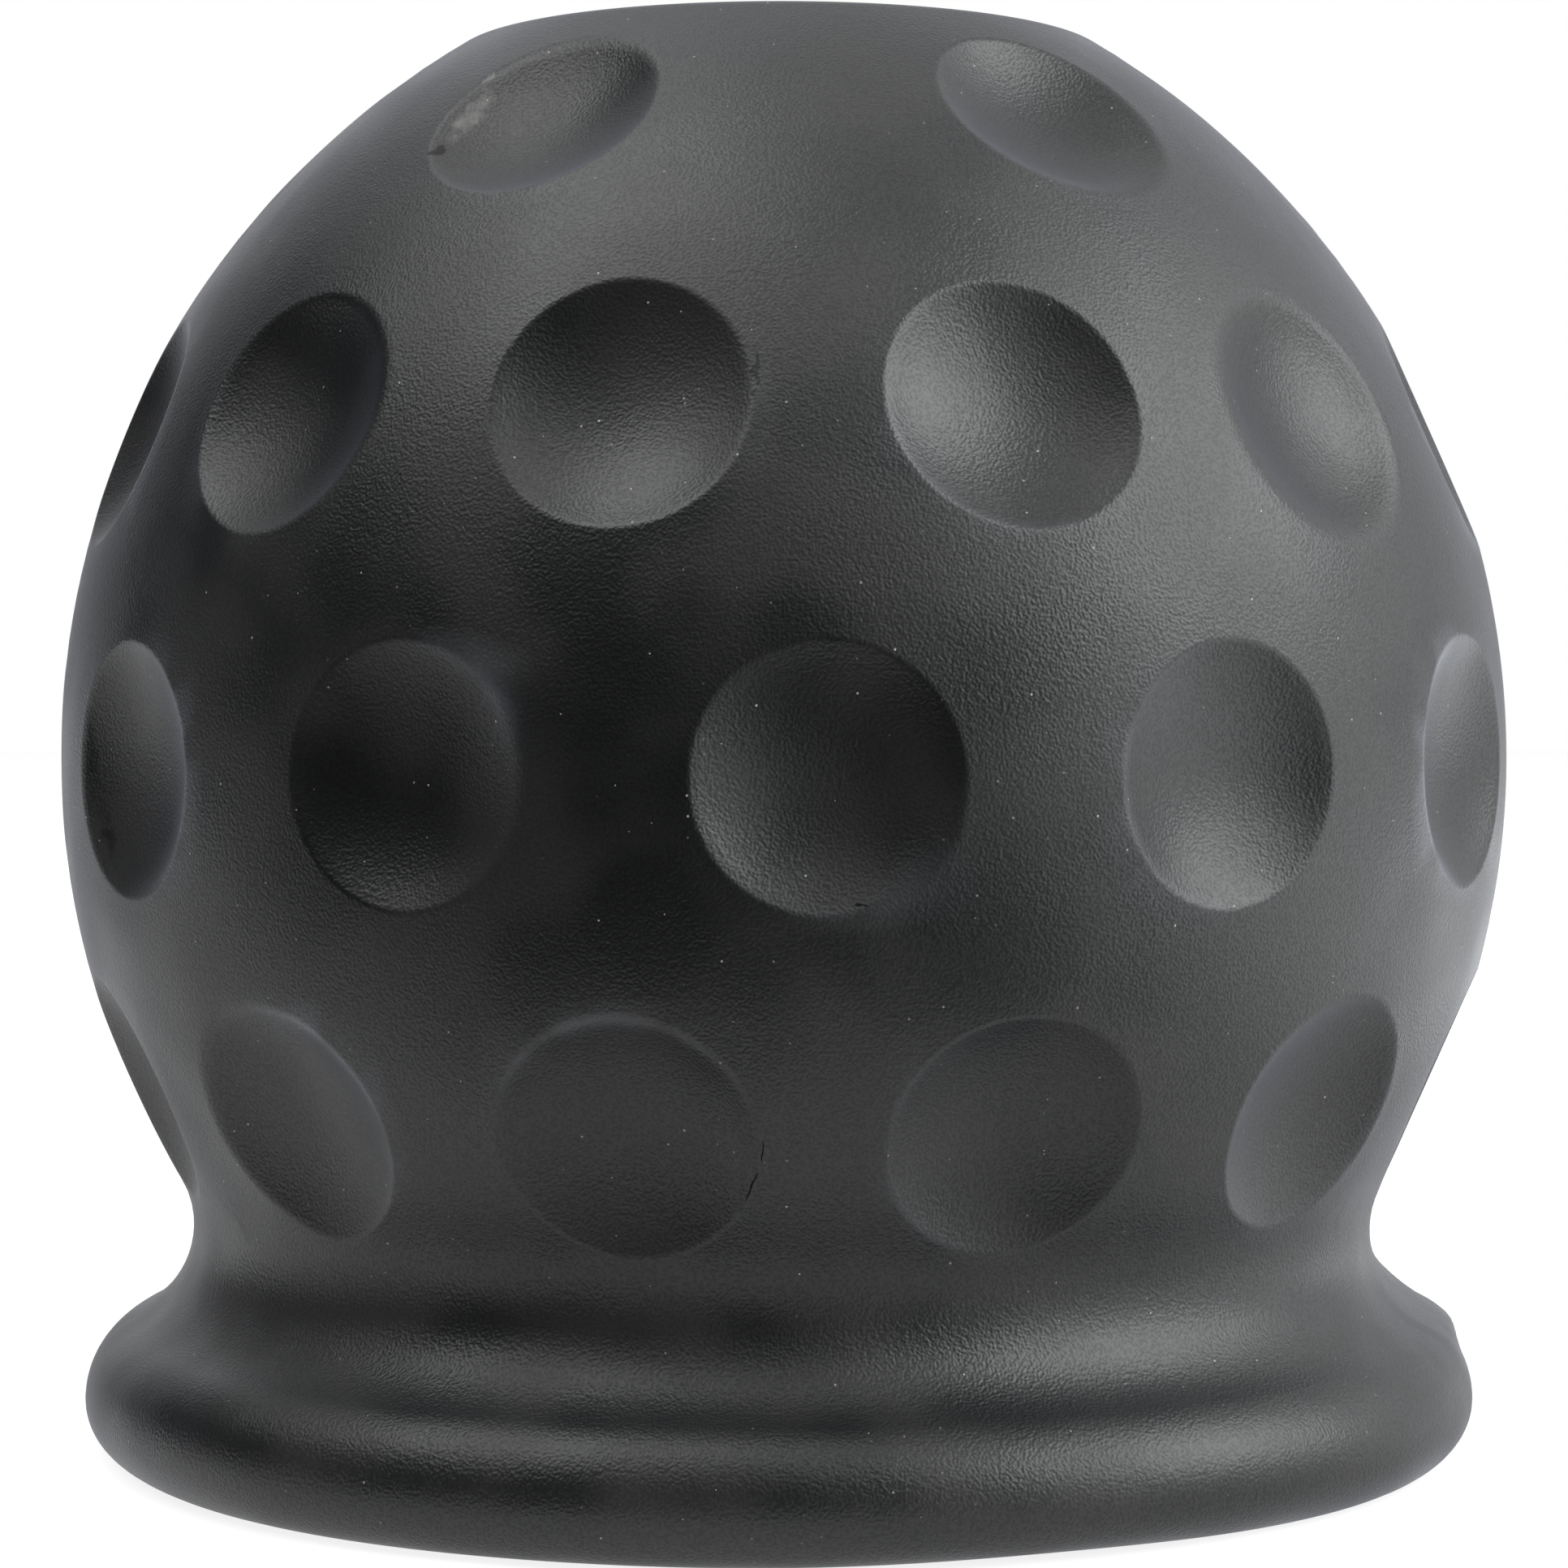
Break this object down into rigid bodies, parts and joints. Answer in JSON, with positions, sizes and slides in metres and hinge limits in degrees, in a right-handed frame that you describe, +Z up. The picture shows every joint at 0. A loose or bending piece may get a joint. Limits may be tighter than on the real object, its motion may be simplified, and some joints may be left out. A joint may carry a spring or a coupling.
{
  "type": "tow ball cover",
  "caption": "Hollow push-on cap with rows of round dimples, a flat crown, a narrow gripping neck and a thick rolled rim around its open mouth.",
  "frame": {"origin": "centre of the base ring, on the axis of the cover", "axes": "+Z up along the axis towards the crown; a dimple of the waist row faces -Y"},
  "size_m": [0.0656, 0.0656, 0.064],
  "materials": {
    "rubber": "matt black moulded rubber with a fine grain"
  },
  "bodies": {
    "root": {"cover": "rubber"}
  },
  "joints": []
}
